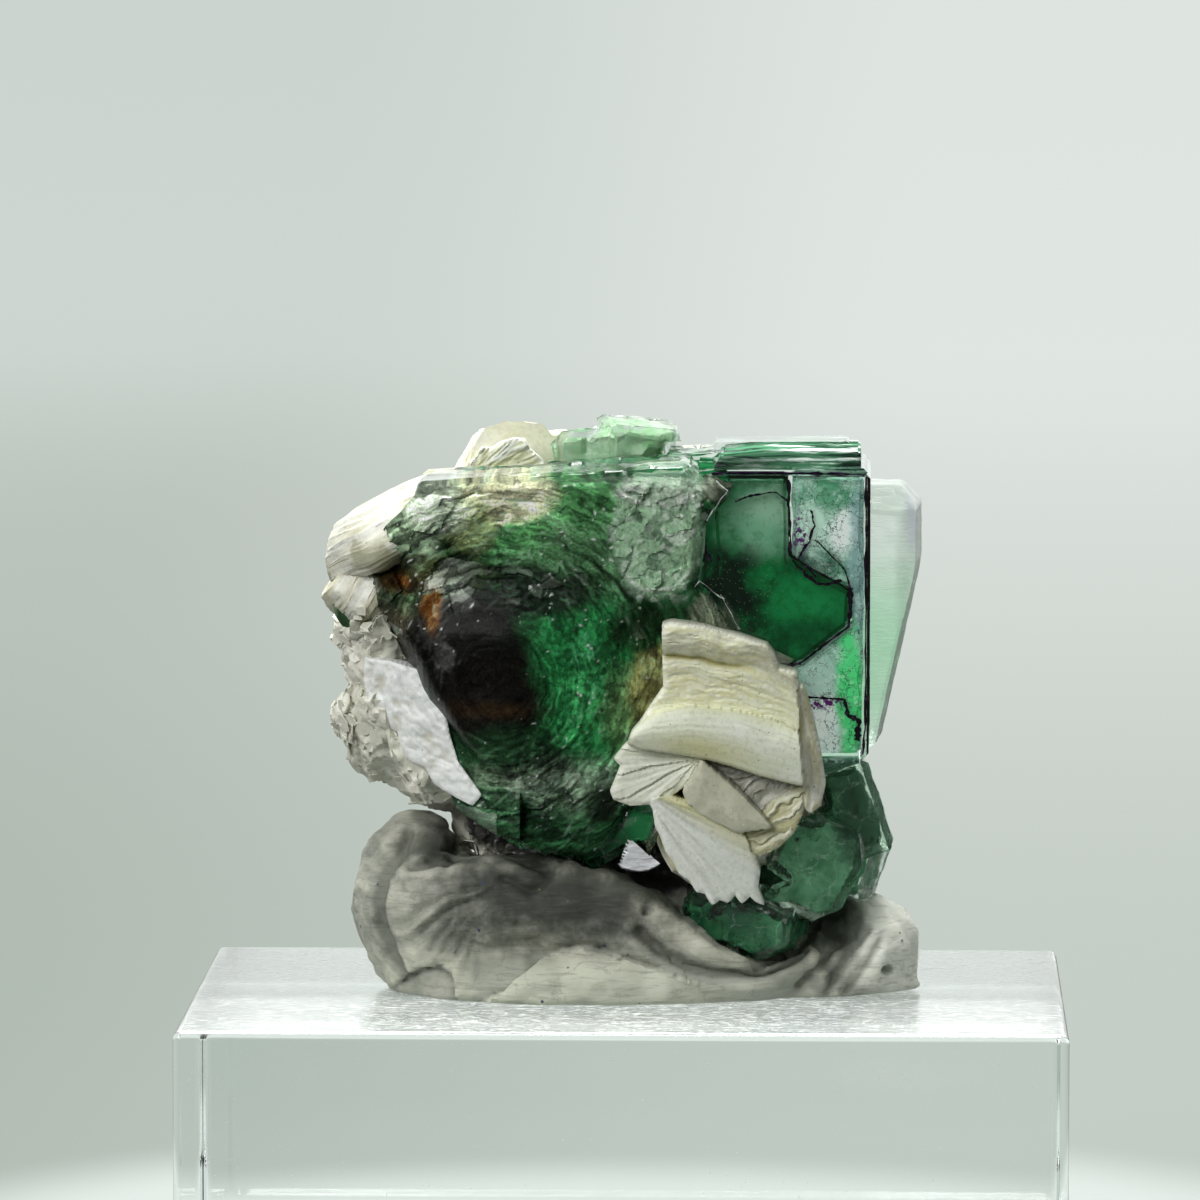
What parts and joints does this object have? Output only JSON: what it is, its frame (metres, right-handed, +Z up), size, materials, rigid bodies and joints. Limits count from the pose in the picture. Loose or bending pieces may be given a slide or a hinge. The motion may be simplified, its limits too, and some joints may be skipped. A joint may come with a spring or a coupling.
{
  "type": "phantom fluorite on muscovite mineral specimen",
  "caption": "Green phantom fluorite crystals on cream muscovite books, pressed into grey mineral tack on a clear display block",
  "frame": {"origin": "middle of the underside of the display block", "axes": "+X to the right seen from the front, +Y towards the back, +Z up"},
  "size_m": [0.0762, 0.0508, 0.0753],
  "materials": {
    "clear_acrylic": "clear polished acrylic with light scratches",
    "putty": "matt grey-beige putty with folds and finger streaks",
    "phantom_fluorite": "clear fluorite with a deep green phantom and dark outlines",
    "pale_fluorite": "pale green to colourless fluorite",
    "deep_fluorite": "frosted deep green fluorite",
    "cream_muscovite": "pearly cream mica books with fine sheet edges",
    "white_muscovite": "crumbly white and cream mica with pearly cleaved faces",
    "silver_mica": "bright silvery mica flake"
  },
  "bodies": {
    "root": {"display_block": "clear_acrylic", "mineral_tack": "putty", "fluorite_main": "phantom_fluorite", "fluorite_back_right": "pale_fluorite", "fluorite_top": "pale_fluorite", "fluorite_lower_cluster": "deep_fluorite", "fluorite_bottom": "deep_fluorite", "muscovite_fan": "cream_muscovite", "muscovite_top_books": "cream_muscovite", "muscovite_left_book": "white_muscovite", "muscovite_matrix": "white_muscovite", "mica_flake": "silver_mica"}
  },
  "joints": []
}
